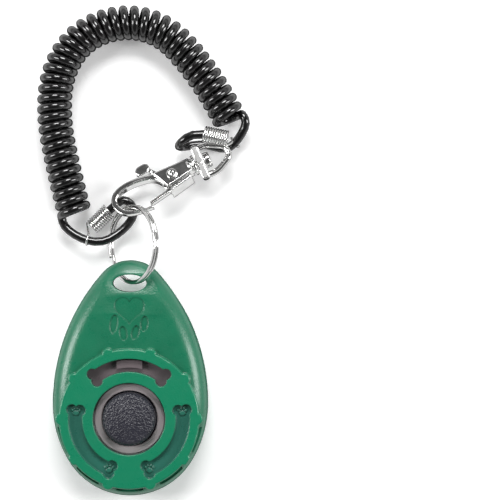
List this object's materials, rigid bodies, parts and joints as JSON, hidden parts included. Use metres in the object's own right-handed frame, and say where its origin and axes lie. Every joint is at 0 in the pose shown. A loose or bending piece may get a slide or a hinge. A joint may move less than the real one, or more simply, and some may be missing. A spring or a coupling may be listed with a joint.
{
  "type": "clicker trainer",
  "caption": "Egg-shaped training clicker with a round push button in a raised bezel, on a split ring with a swivel trigger clasp and a curly wrist coil.",
  "frame": {"origin": "button axis at the flat back face of the case", "axes": "+Z out of the button's face, +Y from the button to the lanyard slot, +X to the right seen from the face; the object lies on its back at Z = 0"},
  "size_m": [0.0593, 0.1357, 0.0178],
  "materials": {
    "case_plastic": "moulded green plastic, satin with a fine grain",
    "carrier_plastic": "warm grey moulded plastic",
    "button_plastic": "charcoal plastic, fine leather grain",
    "spring_steel": "rolled spring steel",
    "screw_steel": "zinc-plated steel",
    "ring_steel": "polished nickel-plated steel wire",
    "nickel_plate": "polished nickel-plated zinc casting",
    "crimp_steel": "close-wound bright steel wire",
    "cord_plastic": "glossy black soft plastic cord"
  },
  "bodies": {
    "case": {"front_shell": "case_plastic", "back_shell": "case_plastic", "carrier": "carrier_plastic", "case_screw_1": "screw_steel", "case_screw_2": "screw_steel", "case_screw_3": "screw_steel"},
    "button": {"button_cap": "button_plastic"},
    "tongue": {"click_tongue": "spring_steel"},
    "ring": {"key_ring": "ring_steel"},
    "strap": {"hook_body": "nickel_plate", "lever_rivet": "nickel_plate", "gate_spring": "spring_steel", "swivel_washer": "nickel_plate", "swivel_post": "nickel_plate", "wrist_coil": "cord_plastic", "coil_lead_ring_side": "cord_plastic", "coil_lead_clasp_side": "cord_plastic", "crimp_ring_side": "crimp_steel", "crimp_clasp_side": "crimp_steel"},
    "lever": {"trigger_lever": "nickel_plate"},
    "bail": {"swivel_bail": "nickel_plate"}
  },
  "joints": [
    {"name": "button_press", "type": "slide", "parent": "case", "child": "button", "axis": [0, 0, -1], "range_m": [0, 0.0015], "stiffness_N_per_m": 2000},
    {"name": "tongue_click", "type": "hinge", "parent": "case", "child": "tongue", "pos_m": [0, 0.015, 0.0053], "axis": [1, 0, 0], "range_deg": [0, 6.7]},
    {"name": "ring_swing", "type": "hinge", "parent": "case", "child": "ring", "pos_m": [0, 0.0414, 0.0083], "axis": [1, 0, 0], "range_deg": [-10, 20]},
    {"name": "strap_slide", "type": "hinge", "parent": "ring", "child": "strap", "pos_m": [0.0009, 0.0477, 0.009], "axis": [-0.766, 0, 0.6428], "range_deg": [-10, 10]},
    {"name": "lever_open", "type": "hinge", "parent": "strap", "child": "lever", "pos_m": [0.01182, 0.06646, 0.00646], "axis": [-0.1651, 0.389, 0.9063], "range_deg": [-18, 0], "stiffness_Nm_per_rad": 0.05},
    {"name": "bail_swivel", "type": "hinge", "parent": "strap", "child": "bail", "pos_m": [0.01682, 0.06927, 0.00616], "axis": [0.9205, 0.3907, 0], "continuous": true, "deforming": ["coil_lead_clasp_side", "crimp_clasp_side"]}
  ],
  "couplings": [
    {"joint": "tongue_click", "follows": "button_press", "rad_per_m": 76.9}
  ]
}
